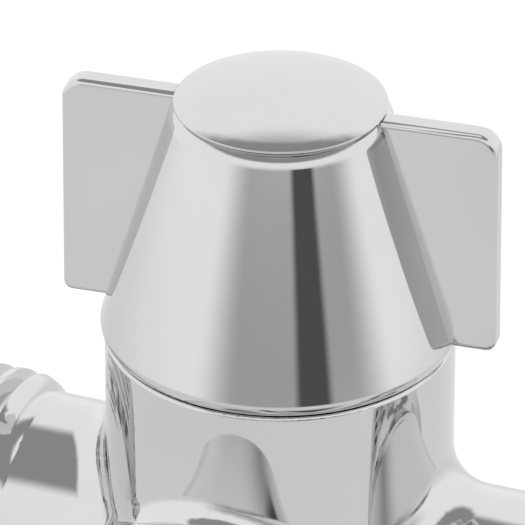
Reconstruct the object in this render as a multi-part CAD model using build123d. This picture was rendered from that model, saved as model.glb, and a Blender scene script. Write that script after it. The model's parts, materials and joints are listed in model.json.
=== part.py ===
from build123d import *
from math import cos, hypot, pi, sin
import os

# Angle stop valve with one female inlet and two male outlets.
# Millimetres. Everything is drawn round the spindle: +Z runs up the spindle, z = 0 is the height
# of the three port axes, +X and -X are the outlets and -Y is the inlet. When a sub-part is
# written it is moved by INLET_REACH along +Y, so the row's origin is the centre of the inlet's mouth.

# ---- driving dimensions -------------------------------------------------------------------

# valve body
BONNET_RADIUS = 12.5
BONNET_TOP = 20.5
BODY_BOTTOM = -15.2
BODY_BOTTOM_ROUND = 2.2
INLET_REACH = 26.0
INLET_RADIUS = 11.55
INLET_EDGE_CHAMFER = 0.8
ARM_REACH = {"left": 32.0, "right": 37.5}
ARM_RADIUS = 9.35
ARM_FILLET = 3.2
INLET_FILLET = 1.7
BONNET_EDGE_ROUND = 0.3

# G 1/2 pipe thread, ISO 228
THREAD_MAJOR_RADIUS = 20.955 / 2
THREAD_MINOR_RADIUS = 18.631 / 2
THREAD_PITCH = 1.814
THREAD_CREST_FLAT = 0.50
THREAD_ROOT_WIDTH = 1.50
THREAD_SINK = 0.15
THREAD_START = {"left": 20.6, "right": 27.0}
THREAD_PHASE = {"left": -18.0, "right": 160.0}
THREAD_FADE = 1.6 * THREAD_PITCH
THREAD_END_CHAMFER = 1.2
PLAIN_ARM = {side: start - 2 * THREAD_PITCH for side, start in THREAD_START.items()}
ARM_TURN = {"left": -90, "right": 90}

# water ways
OUTLET_BORE = 6.0
OUTLET_BORE_END = 12.5
OUTLET_PORT = 3.9
INLET_THREAD_DEPTH = 10.2
INLET_RELIEF_RADIUS = 9.6
INLET_RELIEF_DEPTH = 12.4
POCKET_RADIUS = 8.4
POCKET_FLOOR = -4.0
PASSAGE_WIDTH = 9.0
PASSAGE_TOP = -5.7
PASSAGE_BOTTOM = -9.3
PASSAGE_LENGTH = INLET_REACH - INLET_RELIEF_DEPTH + 0.5

# headwork, the cartridge screwed into the bonnet
HEADWORK_RADIUS = 9.25
HEADWORK_STEP = 6.6
HEADWORK_TIP_RADIUS = 8.3
HEADWORK_BOTTOM = 3.0
FLANGE_RADIUS = 10.6
FLANGE_THICKNESS = 1.5
HEADWORK_HEX = 17.0
HEADWORK_HEX_TOP = BONNET_TOP + 4.2
HEADWORK_TOP = BONNET_TOP + 5.8
NECK_RADIUS = 6.4
GASKET_RADIUS = 10.9
GASKET_THICKNESS = 0.8
GUIDE_BORE = 6.4
GUIDE_HEX_BOTTOM = 10.5
GUIDE_HEX_TOP = BONNET_TOP - 3.5
CHAMBER_TOP = BONNET_TOP - 1.5
CHAMBER_RADIUS = 5.6

# running clearance on a radius, and the small axial gap between parts that turn on each other
RUNNING = 0.05
AXIAL_GAP = 0.05
RING_PROUD = 0.02

# spindle
SPINDLE_RADIUS = 3.4
COLLAR_RADIUS = 5.3
COLLAR_BOTTOM = GUIDE_HEX_TOP + 0.05
COLLAR_TOP = COLLAR_BOTTOM + 1.3
DRIVE_RADIUS = 3.5
DRIVE_BOTTOM = 8.0
SPLINE_BOTTOM = BONNET_TOP + 7.0
SPINDLE_TOP = BONNET_TOP + 13.6
SPLINE_TEETH = 20
SPLINE_TIP_RADIUS = 3.75
SPLINE_ROOT_RADIUS = 3.35
O_RING_SECTION = 0.5
O_RING_LEVELS = {"lower": BONNET_TOP + 0.7, "upper": BONNET_TOP + 3.2}
O_RING_GROOVE_WIDTH = 1.4
CLIP_GROOVE_RADIUS = 2.9
CLIP_BOTTOM = HEADWORK_TOP + AXIAL_GAP
CLIP_THICKNESS = 0.6
CLIP_RADIUS = 4.6
CLIP_MOUTH = 3.5

# piston and its washer
PISTON_TOP = 12.0
PISTON_HEX = 11.0
PISTON_HEX_BOTTOM = 6.5
PISTON_RADIUS = 6.35
PISTON_FLANGE_TOP = 2.0
PISTON_FLANGE_RADIUS = 5.9
PISTON_BOTTOM = -0.05
PISTON_BORE_BOTTOM = 4.0
PISTON_SEAL_LEVEL = 4.3
PISTON_SEAL_SECTION = 0.6
PISTON_GROOVE_WIDTH = 1.45
WASHER_RADIUS = 5.8
WASHER_THICKNESS = 2.5
PLATE_RADIUS = 3.2
PLATE_THICKNESS = 0.7
WASHER_SCREW_RADIUS = 1.5
WASHER_SCREW_TOP = 3.0
WASHER_SCREW_HOLE_TOP = 3.2
WASHER_SCREW_HEAD = 2.6
WASHER_SCREW_HEAD_HEIGHT = 1.2
WASHER_SCREW_EDGE = 0.3
WASHER_SCREW_SLOT = 0.7
WASHER_SCREW_SLOT_DEPTH = 0.45
SEAT_TOP = PISTON_BOTTOM - WASHER_THICKNESS - AXIAL_GAP
SEAT_BORE = 4.5
SEAT_RADIUS = 6.2
SEAT_BOTTOM = -5.5
SEAT_LIP = 1.2

# handle: a hollow cone with a wing on each side
SKIRT_GAP = 0.15
SKIRT_BOTTOM = BONNET_TOP + SKIRT_GAP
SKIRT_FOOT_RADIUS = 12.4
SKIRT_BELLY_RADIUS = 12.7
SKIRT_BELLY_HEIGHT = 0.4
SKIRT_RADIUS = 12.75
SKIRT_LIP_HEIGHT = 0.95
CONE_TOP = BONNET_TOP + 18.1
CONE_TOP_RADIUS = 7.59
CONE_SHOULDER_ROUND = 1.5
HANDLE_WALL = 1.4
DECK_BOTTOM = BONNET_TOP + 14.1
DECK_TOP = BONNET_TOP + 15.6
BOSS_RADIUS = 6.0
BOSS_BOTTOM = CLIP_BOTTOM + CLIP_THICKNESS + 0.4
INSERT_BOTTOM = BOSS_BOTTOM + 0.1
INSERT_RADIUS = 4.7
INSERT_TEETH = 12
INSERT_NOTCH = 0.35
RIB_THICKNESS = 1.0
RIB_ANGLES = (45, 135)
WING_ANGLE = 5.7
WING_THICKNESS = 1.85
WING_TOP = BONNET_TOP + 18.15
WING_BOTTOM = BONNET_TOP + 1.0
WING_TOP_REACH = 15.8
WING_BOTTOM_REACH = 15.95
WING_TOP_CORNER = 1.6
WING_BOTTOM_CORNER = 0.7
WING_EDGE_ROUND = 0.42

# index cap, pressed into the top of the handle
CAP_RADIUS = 7.5
CAP_RIM_BOTTOM = BONNET_TOP + 18.17
CAP_RIM_TOP = BONNET_TOP + 18.3
CAP_RIM_ROUND = 0.06
CAP_DOME = 0.75
CAP_ROOM = 0.1
CAP_PLUG_RADIUS = 6.4
CAP_PLUG_BOTTOM = BONNET_TOP + 15.8
CAP_HOLLOW_RADIUS = 5.4
CAP_HOLLOW_TOP = BONNET_TOP + 17.9

# handle screw
SCREW_RADIUS = 2.0
SCREW_BOTTOM = BONNET_TOP + 5.6
SCREW_HOLE_BOTTOM = SCREW_BOTTOM - 0.5
SCREW_CLEARANCE = 0.3
SCREW_HEAD_RADIUS = 3.5
SCREW_HEAD_HEIGHT = 1.5
SCREW_HEAD_ROUND = 0.7
SCREW_CROSS_LENGTH = 3.6
SCREW_CROSS_WIDTH = 0.8
SCREW_CROSS_DEPTH = 1.1
LOCK_WASHER_RADIUS = 3.8
LOCK_WASHER_THICKNESS = 0.6
LOCK_WASHER_SPLIT = 0.6
LOCK_WASHER_SPLIT_ANGLE = 12

# glide ring, strainer and strainer ring
GLIDE_OUTER = 12.05
GLIDE_INNER = 11.1
GLIDE_SEAT = 0.5
GLIDE_TOP = BONNET_TOP + 0.06
STRAINER_RADIUS = 9.2
STRAINER_THICKNESS = 0.8
STRAINER_HOLE = 0.6
STRAINER_HOLE_PITCH = 1.9
STRAINER_ROWS = 4
RING_INNER = 8.0
RING_OUTER = 9.5
RING_THICKNESS = 1.2
RING_SPLIT = 3.0


# ---- small helpers ------------------------------------------------------------------------

def disc(radius, bottom, top):
    """A solid cylinder on the spindle's axis."""
    return Pos(0, 0, bottom) * extrude(Circle(radius), top - bottom)


def ring(outer, inner, bottom, top):
    """A tube on the spindle's axis."""
    return Pos(0, 0, bottom) * extrude(Circle(outer) - Circle(inner), top - bottom)


def hexagon(across_flats, bottom, top):
    """A six-sided bar on the spindle's axis, given by its size across the flats."""
    return Pos(0, 0, bottom) * extrude(RegularPolygon(across_flats / 2, 6, major_radius=False), top - bottom)


def turned(*profile):
    """A solid of revolution from (radius, height) points."""
    outline = Polyline(*[(radius, 0, height) for radius, height in profile], close=True)
    return revolve(make_face(outline), Axis.Z)


def toothed_bar(teeth, tip, root, bottom, top):
    """A serrated bar with straight-sided teeth."""
    points = []
    for tooth in range(teeth):
        for step, radius in ((0, root), (0.5, tip)):
            angle = 2 * pi * (tooth + step) / teeth
            points.append((radius * cos(angle), radius * sin(angle)))
    return Pos(0, 0, bottom) * extrude(make_face(Polyline(*points, close=True)), top - bottom)


def o_ring(centre_radius, section, level):
    """A round-section rubber ring on the spindle's axis."""
    return Pos(0, 0, level) * Torus(centre_radius, section)


def along_x(part):
    """Lay a part drawn up the Z axis along +X."""
    return Rot(0, 90, 0) * part


def along_inlet(part):
    """Lay a part drawn up the Z axis along the inlet, out of its mouth."""
    return Rot(90, 0, 0) * part


# ---- valve body ---------------------------------------------------------------------------

def male_thread(side):
    """The helical ridge of a G 1/2 thread on an arm drawn up the Z axis, past the arm's end."""
    root = THREAD_MINOR_RADIUS - THREAD_SINK
    path = Helix(THREAD_PITCH, ARM_REACH[side] - THREAD_START[side] + THREAD_PITCH, root)
    rise = THREAD_MAJOR_RADIUS - root
    half_root = THREAD_ROOT_WIDTH / 2
    half_crest = THREAD_CREST_FLAT / 2
    profile = Polyline((0, -half_root), (rise, -half_crest), (rise, half_crest), (0, half_root), close=True)
    start_frame = Plane(origin=path @ 0, x_dir=(1, 0, 0), z_dir=path % 0)
    ridge = sweep(start_frame * make_face(profile), path, is_frenet=True)
    return Pos(0, 0, THREAD_START[side]) * Rot(0, 0, THREAD_PHASE[side]) * ridge


def threaded_arm(side):
    """The outer part of one arm, drawn up the Z axis: neck, thread with its run-out, end chamfer."""
    reach = ARM_REACH[side]
    start = THREAD_START[side]
    plain = PLAIN_ARM[side]
    beyond = reach + 2 * THREAD_PITCH
    outside = THREAD_MAJOR_RADIUS + 1
    fade_start = start - THREAD_PITCH
    core = turned((0, plain), (ARM_RADIUS, plain), (ARM_RADIUS, fade_start), (THREAD_MINOR_RADIUS, start),
                  (THREAD_MINOR_RADIUS, beyond), (0, beyond))
    run_out = turned((ARM_RADIUS - THREAD_SINK, fade_start), (outside, fade_start),
                     (outside, start + THREAD_FADE))
    end_cut = disc(outside, reach, beyond + THREAD_PITCH)
    tip = THREAD_MINOR_RADIUS - THREAD_SINK
    slope = THREAD_END_CHAMFER / (THREAD_MAJOR_RADIUS - tip)
    end_chamfer = turned((tip, reach), (outside, reach), (outside, reach - slope * (outside - tip)))
    return core + male_thread(side) - run_out - end_cut - end_chamfer


def curved_edges(part):
    """The edges where two round surfaces cross, which are neither circles nor lines."""
    return [edge for edge in part.edges() if edge.geom_type not in (GeomType.CIRCLE, GeomType.LINE)]


def body_blank():
    """The forging before its bores: bonnet, plain arms and inlet barrel with their fillets."""
    core = disc(BONNET_RADIUS, BODY_BOTTOM, BONNET_TOP)
    core = fillet(core.edges().filter_by(GeomType.CIRCLE).group_by(Axis.Z)[0], BODY_BOTTOM_ROUND)
    core = fillet(core.edges().filter_by(GeomType.CIRCLE).group_by(Axis.Z)[-1], BONNET_EDGE_ROUND)
    blank = core + along_x(disc(ARM_RADIUS, -PLAIN_ARM["left"], PLAIN_ARM["right"]))
    blank = fillet(curved_edges(blank), ARM_FILLET)
    barrel = along_inlet(disc(INLET_RADIUS, 0, INLET_REACH))
    mouth = barrel.edges().filter_by(GeomType.CIRCLE).sort_by(Axis.Y)[0]
    blank += chamfer(mouth, INLET_EDGE_CHAMFER)
    crease = [edge for edge in curved_edges(blank)
              if abs(hypot(edge.center().X, edge.center().Z) - INLET_RADIUS) < 0.01]
    return fillet(crease, INLET_FILLET)


def water_ways():
    """Everything that is bored out of the body."""
    bonnet_bore = disc(HEADWORK_RADIUS + RUNNING, HEADWORK_STEP, BONNET_TOP)
    gasket_seat = disc(GASKET_RADIUS + RUNNING, BONNET_TOP - GASKET_THICKNESS, BONNET_TOP)
    glide_seat = ring(GLIDE_OUTER + RUNNING, GLIDE_INNER - RUNNING, BONNET_TOP - GLIDE_SEAT, BONNET_TOP)
    pocket = disc(POCKET_RADIUS, POCKET_FLOOR, HEADWORK_STEP)
    seat_hole = disc(SEAT_RADIUS + RUNNING, SEAT_BOTTOM, POCKET_FLOOR)
    under_seat = disc(SEAT_BORE, PASSAGE_BOTTOM, SEAT_BOTTOM)
    passage_height = PASSAGE_TOP - PASSAGE_BOTTOM
    passage = Pos(0, -PASSAGE_LENGTH / 2, PASSAGE_BOTTOM + passage_height / 2) * Box(
        PASSAGE_WIDTH, PASSAGE_LENGTH, passage_height)
    cut = bonnet_bore + gasket_seat + glide_seat + pocket + seat_hole + under_seat + passage
    for side, turn in ARM_TURN.items():
        outer = disc(OUTLET_BORE, OUTLET_BORE_END, ARM_REACH[side])
        inner = disc(OUTLET_PORT, 0, OUTLET_BORE_END)
        cut += Rot(0, turn, 0) * (outer + inner)
    thread_wall = disc(THREAD_MINOR_RADIUS, INLET_REACH - INLET_THREAD_DEPTH, INLET_REACH)
    relief = disc(INLET_RELIEF_RADIUS, INLET_REACH - INLET_RELIEF_DEPTH, INLET_REACH - INLET_THREAD_DEPTH)
    return cut + along_inlet(thread_wall + relief)


def valve_body():
    body = body_blank() - water_ways()
    for side, turn in ARM_TURN.items():
        body += Rot(0, turn, 0) * threaded_arm(side) - water_ways()
    return body


def seat_ring():
    return turned((SEAT_BORE, SEAT_BOTTOM), (SEAT_RADIUS, SEAT_BOTTOM), (SEAT_RADIUS, POCKET_FLOOR),
                  (SEAT_BORE + SEAT_LIP, SEAT_TOP), (SEAT_BORE, SEAT_TOP))


def inlet_strainer():
    plate = disc(STRAINER_RADIUS, 0, STRAINER_THICKNESS)
    holes = [Pos(0, 0, 0)]
    for row in range(1, STRAINER_ROWS + 1):
        for hole in range(6 * row):
            angle = 2 * pi * hole / (6 * row)
            reach = row * STRAINER_HOLE_PITCH
            holes.append(Pos(reach * cos(angle), reach * sin(angle), 0))
    cut = [place * disc(STRAINER_HOLE, 0, STRAINER_THICKNESS) for place in holes]
    seat = INLET_REACH - INLET_RELIEF_DEPTH
    return along_inlet(Pos(0, 0, seat) * (plate - cut))


def strainer_ring():
    seat = INLET_REACH - INLET_RELIEF_DEPTH + STRAINER_THICKNESS
    hoop = ring(RING_OUTER, RING_INNER, seat, seat + RING_THICKNESS)
    split = Pos(RING_OUTER, 0, seat) * Box(2 * RING_OUTER, RING_SPLIT, 4 * RING_THICKNESS)
    return along_inlet(hoop - split)


def glide_ring():
    return ring(GLIDE_OUTER, GLIDE_INNER, BONNET_TOP - GLIDE_SEAT, GLIDE_TOP)


# ---- headwork -----------------------------------------------------------------------------

def headwork_body():
    flange_top = BONNET_TOP + FLANGE_THICKNESS
    outside = (disc(HEADWORK_TIP_RADIUS, HEADWORK_BOTTOM, HEADWORK_STEP)
               + disc(HEADWORK_RADIUS, HEADWORK_STEP, BONNET_TOP)
               + disc(FLANGE_RADIUS, BONNET_TOP, flange_top)
               + hexagon(HEADWORK_HEX, flange_top, HEADWORK_HEX_TOP)
               + disc(NECK_RADIUS, HEADWORK_HEX_TOP, HEADWORK_TOP))
    guide = (disc(GUIDE_BORE, HEADWORK_BOTTOM, GUIDE_HEX_BOTTOM)
             + hexagon(PISTON_HEX + 2 * RUNNING, GUIDE_HEX_BOTTOM, GUIDE_HEX_TOP)
             + disc(CHAMBER_RADIUS, GUIDE_HEX_TOP, CHAMBER_TOP)
             + disc(SPINDLE_RADIUS + RUNNING, CHAMBER_TOP, HEADWORK_TOP))
    return outside - guide


def headwork_gasket():
    return ring(GASKET_RADIUS, HEADWORK_RADIUS + 2 * RUNNING, BONNET_TOP - GASKET_THICKNESS, BONNET_TOP)


def thrust_washer():
    outer_radius = CHAMBER_RADIUS - 2 * RUNNING
    inner_radius = SPINDLE_RADIUS + 2 * RUNNING
    return ring(outer_radius, inner_radius, COLLAR_TOP + AXIAL_GAP, CHAMBER_TOP)


# ---- spindle, which turns with the handle --------------------------------------------------

def spindle():
    bar = (disc(DRIVE_RADIUS, DRIVE_BOTTOM, COLLAR_BOTTOM)
           + disc(COLLAR_RADIUS, COLLAR_BOTTOM, COLLAR_TOP)
           + disc(SPINDLE_RADIUS, COLLAR_TOP, SPLINE_BOTTOM)
           + toothed_bar(SPLINE_TEETH, SPLINE_TIP_RADIUS, SPLINE_ROOT_RADIUS, SPLINE_BOTTOM, SPINDLE_TOP))
    groove_floor = SPINDLE_RADIUS - 2 * O_RING_SECTION
    for level in O_RING_LEVELS.values():
        low = level - O_RING_GROOVE_WIDTH / 2
        bar -= ring(SPINDLE_RADIUS + 1, groove_floor, low, low + O_RING_GROOVE_WIDTH)
    bar -= ring(SPINDLE_RADIUS + 1, CLIP_GROOVE_RADIUS, CLIP_BOTTOM, CLIP_BOTTOM + CLIP_THICKNESS)
    return bar - disc(SCREW_RADIUS + RUNNING, SCREW_HOLE_BOTTOM, SPINDLE_TOP)


def spindle_o_ring(which):
    return o_ring(SPINDLE_RADIUS - O_RING_SECTION + RING_PROUD, O_RING_SECTION, O_RING_LEVELS[which])


def spindle_clip():
    hoop = ring(CLIP_RADIUS, CLIP_GROOVE_RADIUS, CLIP_BOTTOM, CLIP_BOTTOM + CLIP_THICKNESS)
    mouth = Pos(CLIP_RADIUS, 0, CLIP_BOTTOM) * Box(2 * CLIP_RADIUS, CLIP_MOUTH, 4 * CLIP_THICKNESS)
    return hoop - mouth


# ---- piston, which slides in the headwork ---------------------------------------------------

def piston():
    groove_floor = PISTON_RADIUS - 2 * PISTON_SEAL_SECTION
    groove_low = PISTON_SEAL_LEVEL - PISTON_GROOVE_WIDTH / 2
    block = (disc(PISTON_FLANGE_RADIUS, PISTON_BOTTOM, PISTON_FLANGE_TOP)
             + disc(PISTON_RADIUS, PISTON_FLANGE_TOP, PISTON_HEX_BOTTOM)
             + hexagon(PISTON_HEX, PISTON_HEX_BOTTOM, PISTON_TOP))
    block -= ring(PISTON_RADIUS + 1, groove_floor, groove_low, groove_low + PISTON_GROOVE_WIDTH)
    drive_bore = disc(DRIVE_RADIUS + RUNNING, PISTON_BORE_BOTTOM, PISTON_TOP)
    screw_hole = disc(WASHER_SCREW_RADIUS, PISTON_BOTTOM, WASHER_SCREW_HOLE_TOP)
    return block - drive_bore - screw_hole


def piston_seal():
    return o_ring(PISTON_RADIUS - PISTON_SEAL_SECTION + RING_PROUD, PISTON_SEAL_SECTION, PISTON_SEAL_LEVEL)


def seat_washer():
    hole = WASHER_SCREW_RADIUS + RUNNING
    return ring(WASHER_RADIUS, hole, PISTON_BOTTOM - WASHER_THICKNESS, PISTON_BOTTOM)


def washer_plate():
    top = PISTON_BOTTOM - WASHER_THICKNESS
    return ring(PLATE_RADIUS, WASHER_SCREW_RADIUS + RUNNING, top - PLATE_THICKNESS, top)


def washer_screw():
    seat = PISTON_BOTTOM - WASHER_THICKNESS - PLATE_THICKNESS
    head_bottom = seat - WASHER_SCREW_HEAD_HEIGHT
    head = disc(WASHER_SCREW_HEAD, head_bottom, seat)
    head = chamfer(head.edges().group_by(Axis.Z)[0], WASHER_SCREW_EDGE)
    slot = Pos(0, 0, head_bottom) * Box(3 * WASHER_SCREW_HEAD, WASHER_SCREW_SLOT, 2 * WASHER_SCREW_SLOT_DEPTH)
    return head - slot + disc(WASHER_SCREW_RADIUS, seat, WASHER_SCREW_TOP)


# ---- handle and what is pressed or screwed into it -------------------------------------------

def cone_radius(height):
    """The handle's outside radius at a height between the lip and the top edge."""
    lip_top = SKIRT_BOTTOM + SKIRT_LIP_HEIGHT
    share = (height - lip_top) / (CONE_TOP - lip_top)
    return SKIRT_RADIUS + share * (CONE_TOP_RADIUS - SKIRT_RADIUS)


def cone_solid():
    """The cone's outside, solid through, with the rolled lip at its foot and the round shoulder on top."""
    lip_top = SKIRT_BOTTOM + SKIRT_LIP_HEIGHT
    foot = Line((0, 0, SKIRT_BOTTOM), (SKIRT_FOOT_RADIUS, 0, SKIRT_BOTTOM))
    lip = ThreePointArc((SKIRT_FOOT_RADIUS, 0, SKIRT_BOTTOM),
                        (SKIRT_BELLY_RADIUS, 0, SKIRT_BOTTOM + SKIRT_BELLY_HEIGHT),
                        (SKIRT_RADIUS, 0, lip_top))
    rest = Polyline((SKIRT_RADIUS, 0, lip_top), (CONE_TOP_RADIUS, 0, CONE_TOP), (0, 0, CONE_TOP),
                    (0, 0, SKIRT_BOTTOM))
    cone = revolve(make_face(foot + lip + rest), Axis.Z)
    return fillet(cone.edges().filter_by(GeomType.CIRCLE).group_by(Axis.Z)[-1], CONE_SHOULDER_ROUND)


def wing_plate():
    """Both wings as one plate through the cone, with rounded edges."""
    outline = Polyline((-WING_BOTTOM_REACH, WING_BOTTOM), (WING_BOTTOM_REACH, WING_BOTTOM),
                       (WING_TOP_REACH, WING_TOP), (-WING_TOP_REACH, WING_TOP), close=True)
    face = make_face(outline)
    face = fillet(face.vertices().group_by(Axis.Y)[-1], WING_TOP_CORNER)
    face = fillet(face.vertices().group_by(Axis.Y)[0], WING_BOTTOM_CORNER)
    plate = extrude(Plane.XZ * face, WING_THICKNESS / 2, both=True)
    rims = plate.faces().sort_by(Axis.Y)[0].edges() + plate.faces().sort_by(Axis.Y)[-1].edges()
    return fillet(rims, WING_EDGE_ROUND)


def handle():
    lip_top = SKIRT_BOTTOM + SKIRT_LIP_HEIGHT
    hollow_foot = cone_radius(lip_top) - HANDLE_WALL
    hollow_top = cone_radius(DECK_BOTTOM) - HANDLE_WALL
    hollow = turned((0, SKIRT_BOTTOM), (hollow_foot, SKIRT_BOTTOM), (hollow_foot, lip_top),
                    (hollow_top, DECK_BOTTOM), (0, DECK_BOTTOM))
    web_height = DECK_BOTTOM - BOSS_BOTTOM
    boss = disc(BOSS_RADIUS, BOSS_BOTTOM, DECK_BOTTOM)
    ribs = [Rot(0, 0, angle) * Pos(0, 0, BOSS_BOTTOM + web_height / 2)
            * Box(2 * hollow_foot, RIB_THICKNESS, web_height) for angle in RIB_ANGLES]
    web = (boss + ribs) & hollow
    shell = Rot(0, 0, WING_ANGLE) * wing_plate() + cone_solid() - hollow + web
    socket = toothed_bar(INSERT_TEETH, INSERT_RADIUS, INSERT_RADIUS - INSERT_NOTCH, BOSS_BOTTOM, DECK_BOTTOM)
    screw_hole = disc(SCREW_RADIUS + SCREW_CLEARANCE, DECK_BOTTOM, DECK_TOP)
    cap_room = disc(CAP_RADIUS + CAP_ROOM, CONE_TOP, WING_TOP)
    cap_seat = disc(CAP_PLUG_RADIUS, DECK_TOP, CONE_TOP) + cap_room
    return shell - socket - screw_hole - cap_seat


def spline_insert():
    outer = toothed_bar(INSERT_TEETH, INSERT_RADIUS, INSERT_RADIUS - INSERT_NOTCH, INSERT_BOTTOM, DECK_BOTTOM)
    inner = toothed_bar(SPLINE_TEETH, SPLINE_TIP_RADIUS, SPLINE_ROOT_RADIUS, INSERT_BOTTOM, SPINDLE_TOP)
    return outer - inner - disc(SCREW_RADIUS + SCREW_CLEARANCE, SPINDLE_TOP, DECK_BOTTOM)


def index_cap():
    """A shallow dome on a plug, with a groove between the dome's rim and the handle's edge."""
    rim_side = Polyline((0, 0, CAP_PLUG_BOTTOM), (CAP_PLUG_RADIUS, 0, CAP_PLUG_BOTTOM),
                        (CAP_PLUG_RADIUS, 0, CAP_RIM_BOTTOM), (CAP_RADIUS, 0, CAP_RIM_BOTTOM),
                        (CAP_RADIUS, 0, CAP_RIM_TOP))
    sphere_radius = (CAP_RADIUS ** 2 + CAP_DOME ** 2) / (2 * CAP_DOME)
    sphere_centre = CAP_RIM_TOP + CAP_DOME - sphere_radius
    half_reach = CAP_RADIUS / 2
    half_height = sphere_centre + (sphere_radius ** 2 - half_reach ** 2) ** 0.5
    crown = (0, 0, CAP_RIM_TOP + CAP_DOME)
    dome = ThreePointArc((CAP_RADIUS, 0, CAP_RIM_TOP), (half_reach, 0, half_height), crown)
    middle = Line(crown, (0, 0, CAP_PLUG_BOTTOM))
    cap = revolve(make_face(rim_side + dome + middle), Axis.Z)
    rim = cap.edges().filter_by(GeomType.CIRCLE).filter_by(lambda edge: abs(edge.radius - CAP_RADIUS) < 0.01)
    cap = fillet(rim.sort_by(Axis.Z)[-1], CAP_RIM_ROUND)
    return cap - disc(CAP_HOLLOW_RADIUS, CAP_PLUG_BOTTOM, CAP_HOLLOW_TOP)


def lock_washer():
    hoop = ring(LOCK_WASHER_RADIUS, SCREW_RADIUS + RUNNING, DECK_TOP, DECK_TOP + LOCK_WASHER_THICKNESS)
    split = Pos(LOCK_WASHER_RADIUS, 0, DECK_TOP) * Rot(0, 0, LOCK_WASHER_SPLIT_ANGLE) * Box(
        2 * LOCK_WASHER_RADIUS, LOCK_WASHER_SPLIT, 4 * LOCK_WASHER_THICKNESS)
    return hoop - split


def handle_screw():
    seat = DECK_TOP + LOCK_WASHER_THICKNESS
    head = disc(SCREW_HEAD_RADIUS, seat, seat + SCREW_HEAD_HEIGHT)
    head = fillet(head.edges().group_by(Axis.Z)[-1], SCREW_HEAD_ROUND)
    slot = Box(SCREW_CROSS_LENGTH, SCREW_CROSS_WIDTH, 2 * SCREW_CROSS_DEPTH)
    bar = Pos(0, 0, seat + SCREW_HEAD_HEIGHT) * slot
    cross = [Rot(0, 0, angle) * bar for angle in (0, 90)]
    return head - cross + disc(SCREW_RADIUS, SCREW_BOTTOM, seat)


# ---- write every sub-part --------------------------------------------------------------------

PARTS = {
    "valve_body": valve_body,
    "seat_ring": seat_ring,
    "inlet_strainer": inlet_strainer,
    "strainer_ring": strainer_ring,
    "glide_ring": glide_ring,
    "headwork_body": headwork_body,
    "headwork_gasket": headwork_gasket,
    "thrust_washer": thrust_washer,
    "spindle": spindle,
    "spindle_o_ring_lower": lambda: spindle_o_ring("lower"),
    "spindle_o_ring_upper": lambda: spindle_o_ring("upper"),
    "spindle_clip": spindle_clip,
    "piston": piston,
    "piston_seal": piston_seal,
    "seat_washer": seat_washer,
    "washer_plate": washer_plate,
    "washer_screw": washer_screw,
    "handle": handle,
    "spline_insert": spline_insert,
    "index_cap": index_cap,
    "lock_washer": lock_washer,
    "handle_screw": handle_screw,
}


def main():
    os.makedirs("parts", exist_ok=True)
    for name, make in PARTS.items():
        export_step(Pos(0, INLET_REACH, 0) * make(), f"parts/{name}.step")


main()
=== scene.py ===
import json
from math import atan2, cos, radians, sin

import bpy
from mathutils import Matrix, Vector


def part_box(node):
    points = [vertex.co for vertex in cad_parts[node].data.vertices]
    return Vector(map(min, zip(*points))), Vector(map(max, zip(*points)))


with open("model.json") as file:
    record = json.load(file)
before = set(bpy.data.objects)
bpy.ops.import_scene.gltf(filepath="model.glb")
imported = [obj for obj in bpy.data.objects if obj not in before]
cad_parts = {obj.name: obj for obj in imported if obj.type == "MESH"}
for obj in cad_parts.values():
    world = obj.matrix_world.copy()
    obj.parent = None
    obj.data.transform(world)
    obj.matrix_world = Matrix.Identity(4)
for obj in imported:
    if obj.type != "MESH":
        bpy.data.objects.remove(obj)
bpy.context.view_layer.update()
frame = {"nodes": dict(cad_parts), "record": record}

MM = 0.001

# Landmarks of the part, from the frame
BODY_LOW, BODY_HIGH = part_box("valve_body")
SPINDLE_LOW, SPINDLE_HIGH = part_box("spindle")
AXIS_Y = (SPINDLE_LOW.y + SPINDLE_HIGH.y) / 2
BONNET_TOP = BODY_HIGH.z


# ---- camera -------------------------------------------------------------------------------

CAMERA_AZIMUTH = radians(22.2)
CAMERA_ELEVATION = radians(29.96)
CAMERA_DISTANCE = 414.3 * MM
CAMERA_SENSOR = 36.0
CAMERA_LENS = 402.2
AIM_SIDEWAYS = -1.258 * MM
AIM_ABOVE_BONNET = 5.286 * MM


def heading(azimuth):
    """The level direction from the part towards a viewer at this azimuth."""
    return Vector((sin(azimuth), -cos(azimuth), 0))


def add_camera():
    toward = heading(CAMERA_AZIMUTH) * cos(CAMERA_ELEVATION) + Vector((0, 0, sin(CAMERA_ELEVATION)))
    across = Vector((cos(CAMERA_AZIMUTH), sin(CAMERA_AZIMUTH), 0))
    aim = Vector((0, AXIS_Y, BONNET_TOP + AIM_ABOVE_BONNET)) + across * AIM_SIDEWAYS
    data = bpy.data.cameras.new("camera")
    data.sensor_width = CAMERA_SENSOR
    data.lens = CAMERA_LENS
    data.clip_start = 10 * MM
    data.clip_end = 20
    camera = bpy.data.objects.new("camera", data)
    camera.location = aim + toward * CAMERA_DISTANCE
    camera.rotation_euler = (-toward).to_track_quat("-Z", "Y").to_euler()
    bpy.context.scene.collection.objects.link(camera)
    bpy.context.scene.camera = camera


# ---- materials ----------------------------------------------------------------------------

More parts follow.
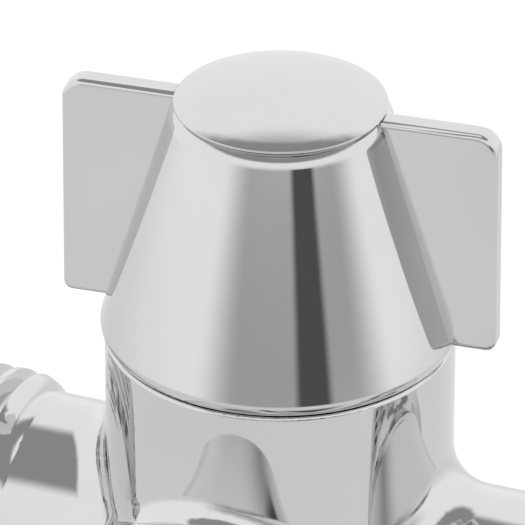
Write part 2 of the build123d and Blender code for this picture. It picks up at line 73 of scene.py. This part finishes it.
class Recipe:
    """A material under construction: short calls that add and join shader nodes."""

    def __init__(self, name):
        self.material = bpy.data.materials.new(name)
        self.material.use_nodes = True
        self.tree = self.material.node_tree
        self.shader = self.tree.nodes["Principled BSDF"]
        self.place = self.tree.nodes.new("ShaderNodeTexCoord").outputs["Object"]

    def set(self, **values):
        for name, value in values.items():
            self.shader.inputs[name.replace("_", " ")].default_value = value
        return self

    def join(self, output, socket):
        self.tree.links.new(output, socket)

    def node(self, kind, **inputs):
        made = self.tree.nodes.new(kind)
        for name, value in inputs.items():
            socket = made.inputs[name.replace("_", " ")]
            if isinstance(value, bpy.types.NodeSocket):
                self.join(value, socket)
            else:
                socket.default_value = value
        return made

    def stretched(self, scale):
        mapping = self.node("ShaderNodeMapping", Vector=self.place)
        mapping.inputs["Scale"].default_value = scale
        return mapping.outputs["Vector"]

    def noise(self, scale, detail=3.0, roughness=0.5, place=None):
        made = self.node("ShaderNodeTexNoise", Vector=place or self.place, Scale=scale, Detail=detail,
                         Roughness=roughness)
        return made.outputs["Fac"]

    def ramp(self, factor, stops):
        made = self.node("ShaderNodeValToRGB", Fac=factor)
        elements = made.color_ramp.elements
        while len(elements) < len(stops):
            elements.new(0.5)
        for element, (place, colour) in zip(elements, stops):
            element.position = place
            element.color = (*colour, 1) if len(colour) == 3 else colour
        return made.outputs["Color"]

    def spread(self, factor, low, high):
        made = self.node("ShaderNodeMapRange", Value=factor)
        made.inputs["To Min"].default_value = low
        made.inputs["To Max"].default_value = high
        return made.outputs["Result"]

    def bump(self, height, depth, strength=1.0, under=None):
        made = self.node("ShaderNodeBump", Height=height, Distance=depth, Strength=strength)
        if under is not None:
            self.join(under, made.inputs["Normal"])
        return made.outputs["Normal"]

    def finish(self, colour=None, roughness=None, normal=None):
        if colour is not None:
            self.join(colour, self.shader.inputs["Base Color"])
        if roughness is not None:
            self.join(roughness, self.shader.inputs["Roughness"])
        if normal is not None:
            self.join(normal, self.shader.inputs["Normal"])
        return self.material


def chrome(name, tone, waviness):
    """Polished chrome plate: faint smudges in the gloss and the gentle waviness of a buffed casting."""
    make = Recipe(name).set(Metallic=1.0)
    low, high = (tuple(channel * shade for channel in tone) for shade in (0.97, 1.02))
    colour = make.ramp(make.noise(60, 4), [(0.35, low), (0.65, high)])
    smudge = make.spread(make.noise(220, 5, 0.6), 0.02, 0.06)
    wave = make.bump(make.noise(110, 1.5), waviness)
    grain = make.bump(make.noise(5200, 2), 0.0000003, under=wave)
    return make.finish(colour, smudge, grain)


def brass(name, tone, rings):
    """Turned or cut brass: tool rings, slightly tarnished in patches."""
    make = Recipe(name).set(Metallic=1.0)
    dull = tuple(channel * 0.72 for channel in tone)
    colour = make.ramp(make.noise(180, 5, 0.65), [(0.3, dull), (0.62, tone)])
    gloss = make.spread(make.noise(420, 4), 0.2, 0.42)
    tool = make.noise(rings, 2, place=make.stretched((0.05, 0.05, 1.0)))
    return make.finish(colour, gloss, make.bump(tool, 0.00002))


def steel(name, tone):
    """Stainless or plated steel with a fine brushed grain."""
    make = Recipe(name).set(Metallic=1.0)
    grain = make.noise(3800, 3, place=make.stretched((1.0, 0.06, 0.06)))
    colour = make.ramp(make.noise(260, 4), [(0.3, tuple(channel * 0.85 for channel in tone)), (0.7, tone)])
    return make.finish(colour, make.spread(grain, 0.22, 0.4), make.bump(grain, 0.000004))


def rubber(name, tone):
    """Moulded rubber: matt, with a fine pebbled skin and a bloom of lighter patches."""
    make = Recipe(name).set(Metallic=0.0, Specular_IOR_Level=0.35)
    bloom = tuple(channel * 1.7 + 0.01 for channel in tone)
    colour = make.ramp(make.noise(500, 5, 0.7), [(0.4, tone), (0.75, bloom)])
    matt = make.spread(make.noise(900, 3), 0.62, 0.82)
    return make.finish(colour, matt, make.bump(make.noise(4200, 2), 0.00002))


def plastic(name, tone):
    """Moulded acetal or pressed fibre: satin, faintly mottled."""
    make = Recipe(name).set(Metallic=0.0, Specular_IOR_Level=0.45)
    colour = make.ramp(make.noise(320, 4), [(0.3, tuple(channel * 0.88 for channel in tone)), (0.7, tone)])
    satin = make.spread(make.noise(700, 3), 0.34, 0.5)
    return make.finish(colour, satin, make.bump(make.noise(3000, 2), 0.00001))


CHROME_TONE = (0.66, 0.66, 0.668)

FINISHES = {
    "chrome_body": chrome("chrome_body", CHROME_TONE, 0.00003),
    "chrome_handle": chrome("chrome_handle", CHROME_TONE, 0.00002),
    "chrome_cap": chrome("chrome_cap", CHROME_TONE, 0.00001),
    "brass": brass("brass", (0.78, 0.58, 0.27), 900),
    "spindle_brass": brass("spindle_brass", (0.74, 0.54, 0.25), 1500),
    "stainless": steel("stainless", (0.62, 0.62, 0.63)),
    "screw_steel": steel("screw_steel", (0.56, 0.57, 0.60)),
    "black_rubber": rubber("black_rubber", (0.022, 0.022, 0.023)),
    "washer_rubber": rubber("washer_rubber", (0.045, 0.03, 0.025)),
    "fibre": plastic("fibre", (0.33, 0.12, 0.07)),
    "grey_acetal": plastic("grey_acetal", (0.045, 0.045, 0.05)),
    "white_acetal": plastic("white_acetal", (0.80, 0.79, 0.75)),
}

CREASE_ANGLE = radians(50)


def dress_nodes():
    """Give every CAD node its finish, and smooth shading that breaks at real corners."""
    slot_of = {row["node"]: row["material_slot"] for row in frame["record"]["subparts"]}
    for name, node in frame["nodes"].items():
        node.data.materials.clear()
        node.data.materials.append(FINISHES[slot_of[name]])
        node.data.shade_smooth()
        weld = node.modifiers.new("weld", "WELD")
        weld.merge_threshold = 0.5e-6
        split = node.modifiers.new("corners", "EDGE_SPLIT")
        split.split_angle = CREASE_ANGLE
        even = node.modifiers.new("even_shading", "WEIGHTED_NORMAL")
        even.mode = "FACE_AREA_WITH_ANGLE"
        even.weight = 100


# ---- stage: floor, even light, and a plain white tent with four cards for the chrome to mirror ----

FLOOR_DROP = 25 * MM
FLOOR_SPAN = 3.0
SKY_BRIGHTNESS = 1.0

TENT_RADIUS = 300 * MM
TABLE_TONE = 0.85
TENT_TONE = 1.1
TABLE_EDGE = (-20, 0)

# Cards in the tent: azimuth from and to right of the camera, elevation from and to, softness, brightness
CARDS = {
    "grey opening round the camera": (-40, 60, -10, 15, 15, 0.45),
    "black card right of the camera": (10, 30, -5, 15, 3, 0.1),
    "black card low in front": (-45, 45, -85, -45, 10, 0.1),
    "grey card overhead": (-200, 200, 50, 75, 5, 0.35),
}


def plain_material(name, colour, glow=0.0):
    material = bpy.data.materials.new(name)
    material.use_nodes = True
    shader = material.node_tree.nodes["Principled BSDF"]
    shader.inputs["Base Color"].default_value = (*colour, 1)
    shader.inputs["Roughness"].default_value = 0.9
    shader.inputs["Specular IOR Level"].default_value = 0.0
    shader.inputs["Emission Color"].default_value = (1, 1, 1, 1)
    shader.inputs["Emission Strength"].default_value = glow
    return material


def add_floor():
    level = BODY_LOW.z - FLOOR_DROP
    half = FLOOR_SPAN / 2
    corners = [(x * half, AXIS_Y + y * half, level) for x, y in ((-1, -1), (1, -1), (1, 1), (-1, 1))]
    mesh = bpy.data.meshes.new("floor")
    mesh.from_pydata(corners, [], [(0, 1, 2, 3)])
    mesh.materials.append(plain_material("floor", (0.86, 0.86, 0.86), 0.2))
    floor = bpy.data.objects.new("floor", mesh)
    bpy.context.scene.collection.objects.link(floor)
    floor.visible_glossy = False


class Tent(Recipe):
    """The studio as brightness by direction, in degrees: azimuth right of the camera, and elevation."""

    def __init__(self, name):
        super().__init__(name)
        unit = self.node("ShaderNodeVectorMath", Vector=self.place)
        unit.operation = "NORMALIZE"
        split = self.node("ShaderNodeSeparateXYZ", Vector=unit.outputs["Vector"])
        forward, right, up = (split.outputs[axis] for axis in "XYZ")
        self.azimuth = self.maths("DEGREES", self.maths("ARCTAN2", right, forward))
        self.elevation = self.maths("DEGREES", self.maths("ARCSINE", up))

    def maths(self, operation, first, second=0.0):
        made = self.tree.nodes.new("ShaderNodeMath")
        made.operation = operation
        for socket, value in zip(made.inputs, (first, second)):
            if isinstance(value, bpy.types.NodeSocket):
                self.join(value, socket)
            else:
                socket.default_value = value
        return made.outputs["Value"]

    def step(self, value, low, high):
        made = self.node("ShaderNodeMapRange", Value=value)
        made.interpolation_type = "SMOOTHSTEP"
        made.inputs["From Min"].default_value = low
        made.inputs["From Max"].default_value = high
        return made.outputs["Result"]

    def between(self, value, low, high, soft):
        """1 inside the range and 0 outside it, with soft ends."""
        rise = self.step(value, low - soft, low + soft)
        fall = self.step(value, high - soft, high + soft)
        return self.maths("SUBTRACT", rise, fall)

    def blend(self, under, over, share):
        rest = self.maths("SUBTRACT", 1.0, share)
        return self.maths("ADD", self.maths("MULTIPLY", under, rest), self.maths("MULTIPLY", over, share))

    def glow(self, brightness):
        lamp = self.tree.nodes.new("ShaderNodeEmission")
        self.join(brightness, lamp.inputs["Strength"])
        self.join(lamp.outputs["Emission"], self.tree.nodes["Material Output"].inputs["Surface"])
        return self.material


def tent_material():
    tent = Tent("tent")
    light = tent.blend(TABLE_TONE, TENT_TONE, tent.step(tent.elevation, *TABLE_EDGE))
    for start, end, low, high, soft, tone in CARDS.values():
        across = tent.between(tent.azimuth, start, end, soft)
        share = tent.maths("MULTIPLY", across, tent.between(tent.elevation, low, high, soft))
        light = tent.blend(light, tone, share)
    return tent.glow(light)


def add_tent():
    """A sphere round the part that only mirror rays see, its +X side towards the camera."""
    bpy.ops.mesh.primitive_uv_sphere_add(segments=96, ring_count=48, radius=TENT_RADIUS)
    tent = bpy.context.object
    tent.name = "tent"
    tent.location = (0, AXIS_Y, BONNET_TOP)
    facing = heading(CAMERA_AZIMUTH)
    tent.rotation_euler = (0, 0, atan2(facing.y, facing.x))
    tent.data.materials.append(tent_material())
    tent.visible_camera = False
    tent.visible_diffuse = False
    tent.visible_shadow = False


def light_the_world():
    world = bpy.data.worlds.new("studio")
    world.use_nodes = True
    world.node_tree.nodes["Background"].inputs["Color"].default_value = (1, 1, 1, 1)
    world.node_tree.nodes["Background"].inputs["Strength"].default_value = SKY_BRIGHTNESS
    bpy.context.scene.world = world
    bpy.context.scene.view_settings.view_transform = "Standard"


add_camera()
dress_nodes()
add_floor()
add_tent()
light_the_world()
